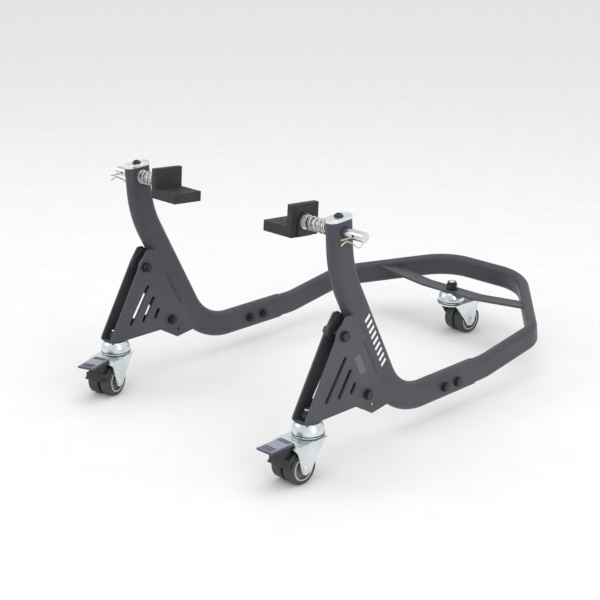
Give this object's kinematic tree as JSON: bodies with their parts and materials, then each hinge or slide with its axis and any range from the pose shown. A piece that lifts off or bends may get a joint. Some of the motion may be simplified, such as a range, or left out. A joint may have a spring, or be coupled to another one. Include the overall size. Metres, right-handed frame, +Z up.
{
  "type": "motorcycle rear paddock stand",
  "caption": "Rear paddock stand: two bent oval-tube arms with sprung swivelling lift pads, slotted caster brackets, a rising handle loop and twin-wheel swivel casters, the front ones braked.",
  "frame": {"origin": "on the floor, under the centre of the overall box", "axes": "+Z up, +Y from the open wheel end towards the handle loop, +X towards the arm called right, on the right hand of a person who looks along +Y"},
  "size_m": [0.559, 0.7986, 0.382],
  "materials": {
    "frame_coat": "satin",
    "bracket_coat": "satin",
    "zinc_plate": "bright zinc plated",
    "pin_steel": "machined, zinc plated",
    "spring_steel": "zinc plated wire",
    "black_steel": "satin black",
    "pad_rubber": "moulded",
    "tyre_rubber": "smooth tread",
    "hub_plastic": "moulded",
    "pedal_plastic": "moulded",
    "shoe_plastic": "moulded",
    "bush_plastic": "moulded nylon"
  },
  "bodies": {
    "frame": {"arm_left": "frame_coat", "arm_right": "frame_coat", "handle_loop": "frame_coat", "cross_strap": "frame_coat", "caster_bracket_left": "bracket_coat", "caster_bracket_right": "bracket_coat", "arm_lugs_left": "bracket_coat", "arm_lugs_right": "bracket_coat", "cap_plate_left": "zinc_plate", "cap_plate_right": "zinc_plate", "cap_screws": "zinc_plate", "post_washers": "zinc_plate", "king_pins": "zinc_plate", "stem_nuts": "zinc_plate", "frame_bolts": "black_steel", "frame_nuts": "black_steel", "frame_washers": "black_steel", "pin_bush_left": "bush_plastic", "pin_bush_right": "bush_plastic", "spring_left": "spring_steel", "spring_right": "spring_steel", "upper_race_front_right": "zinc_plate", "upper_race_front_left": "zinc_plate", "upper_race_rear": "zinc_plate"},
    "slider_right": {"pad_washer_right": "zinc_plate"},
    "pad_right": {"support_pin_right": "pin_steel", "r_clip_right": "pin_steel", "pad_bracket_right": "black_steel", "rubber_pad_right": "pad_rubber"},
    "slider_left": {"pad_washer_left": "zinc_plate"},
    "pad_left": {"support_pin_left": "pin_steel", "r_clip_left": "pin_steel", "pad_bracket_left": "black_steel", "rubber_pad_left": "pad_rubber"},
    "caster_front_right": {"fork_front_right": "zinc_plate", "axle_front_right": "zinc_plate", "pedal_pin_right": "zinc_plate"},
    "wheel_front_right_a": {"hub_front_right_a": "hub_plastic", "tyre_front_right_a": "tyre_rubber"},
    "wheel_front_right_b": {"hub_front_right_b": "hub_plastic", "tyre_front_right_b": "tyre_rubber"},
    "pedal_right": {"brake_pedal_right": "pedal_plastic", "brake_shoe_right": "shoe_plastic"},
    "caster_front_left": {"fork_front_left": "zinc_plate", "axle_front_left": "zinc_plate", "pedal_pin_left": "zinc_plate"},
    "wheel_front_left_a": {"hub_front_left_a": "hub_plastic", "tyre_front_left_a": "tyre_rubber"},
    "wheel_front_left_b": {"hub_front_left_b": "hub_plastic", "tyre_front_left_b": "tyre_rubber"},
    "pedal_left": {"brake_pedal_left": "pedal_plastic", "brake_shoe_left": "shoe_plastic"},
    "caster_rear": {"fork_rear": "zinc_plate", "axle_rear": "zinc_plate"},
    "wheel_rear_a": {"hub_rear_a": "hub_plastic", "tyre_rear_a": "tyre_rubber"},
    "wheel_rear_b": {"hub_rear_b": "hub_plastic", "tyre_rear_b": "tyre_rubber"}
  },
  "joints": [
    {"name": "pad_slide_right", "type": "slide", "parent": "frame", "child": "slider_right", "axis": [1, 0, 0], "range_m": [-0.0135, 0.018], "stiffness_N_per_m": 3300, "deforming": ["spring_right"]},
    {"name": "pad_swivel_right", "type": "hinge", "parent": "slider_right", "child": "pad_right", "pos_m": [0.161, -0.247, 0.3543], "axis": [1, 0, 0], "continuous": true},
    {"name": "pad_slide_left", "type": "slide", "parent": "frame", "child": "slider_left", "axis": [-1, 0, 0], "range_m": [-0.0135, 0.018], "stiffness_N_per_m": 3300, "deforming": ["spring_left"]},
    {"name": "pad_swivel_left", "type": "hinge", "parent": "slider_left", "child": "pad_left", "pos_m": [-0.161, -0.247, 0.3543], "axis": [1, 0, 0], "continuous": true},
    {"name": "swivel_front_right", "type": "hinge", "parent": "frame", "child": "caster_front_right", "pos_m": [0.2285, -0.3073, 0.066], "axis": [0, 0, 1], "continuous": true},
    {"name": "wheel_spin_front_right_a", "type": "hinge", "parent": "caster_front_right", "child": "wheel_front_right_a", "pos_m": [0.2293, -0.33779, 0.025], "axis": [-0.9997, -0.0262, 0], "continuous": true},
    {"name": "wheel_spin_front_right_b", "type": "hinge", "parent": "caster_front_right", "child": "wheel_front_right_b", "pos_m": [0.2293, -0.33779, 0.025], "axis": [-0.9997, -0.0262, 0], "continuous": true},
    {"name": "brake_right", "type": "hinge", "parent": "caster_front_right", "child": "pedal_right", "pos_m": [0.2296, -0.34929, 0.053], "axis": [0.9997, 0.0262, 0], "range_deg": [0, 8]},
    {"name": "swivel_front_left", "type": "hinge", "parent": "frame", "child": "caster_front_left", "pos_m": [-0.2285, -0.3073, 0.066], "axis": [0, 0, 1], "continuous": true},
    {"name": "wheel_spin_front_left_a", "type": "hinge", "parent": "caster_front_left", "child": "wheel_front_left_a", "pos_m": [-0.21812, -0.33598, 0.025], "axis": [-0.9403, -0.3404, 0], "continuous": true},
    {"name": "wheel_spin_front_left_b", "type": "hinge", "parent": "caster_front_left", "child": "wheel_front_left_b", "pos_m": [-0.21812, -0.33598, 0.025], "axis": [-0.9403, -0.3404, 0], "continuous": true},
    {"name": "brake_left", "type": "hinge", "parent": "caster_front_left", "child": "pedal_left", "pos_m": [-0.2142, -0.34679, 0.053], "axis": [0.9403, 0.3404, 0], "range_deg": [0, 8]},
    {"name": "swivel_rear", "type": "hinge", "parent": "frame", "child": "caster_rear", "pos_m": [0, 0.2933, 0.066], "axis": [0, 0, 1], "continuous": true},
    {"name": "wheel_spin_rear_a", "type": "hinge", "parent": "caster_rear", "child": "wheel_rear_a", "pos_m": [0.00234, 0.32371, 0.025], "axis": [0.9971, -0.0767, 0], "continuous": true},
    {"name": "wheel_spin_rear_b", "type": "hinge", "parent": "caster_rear", "child": "wheel_rear_b", "pos_m": [0.00234, 0.32371, 0.025], "axis": [0.9971, -0.0767, 0], "continuous": true}
  ]
}
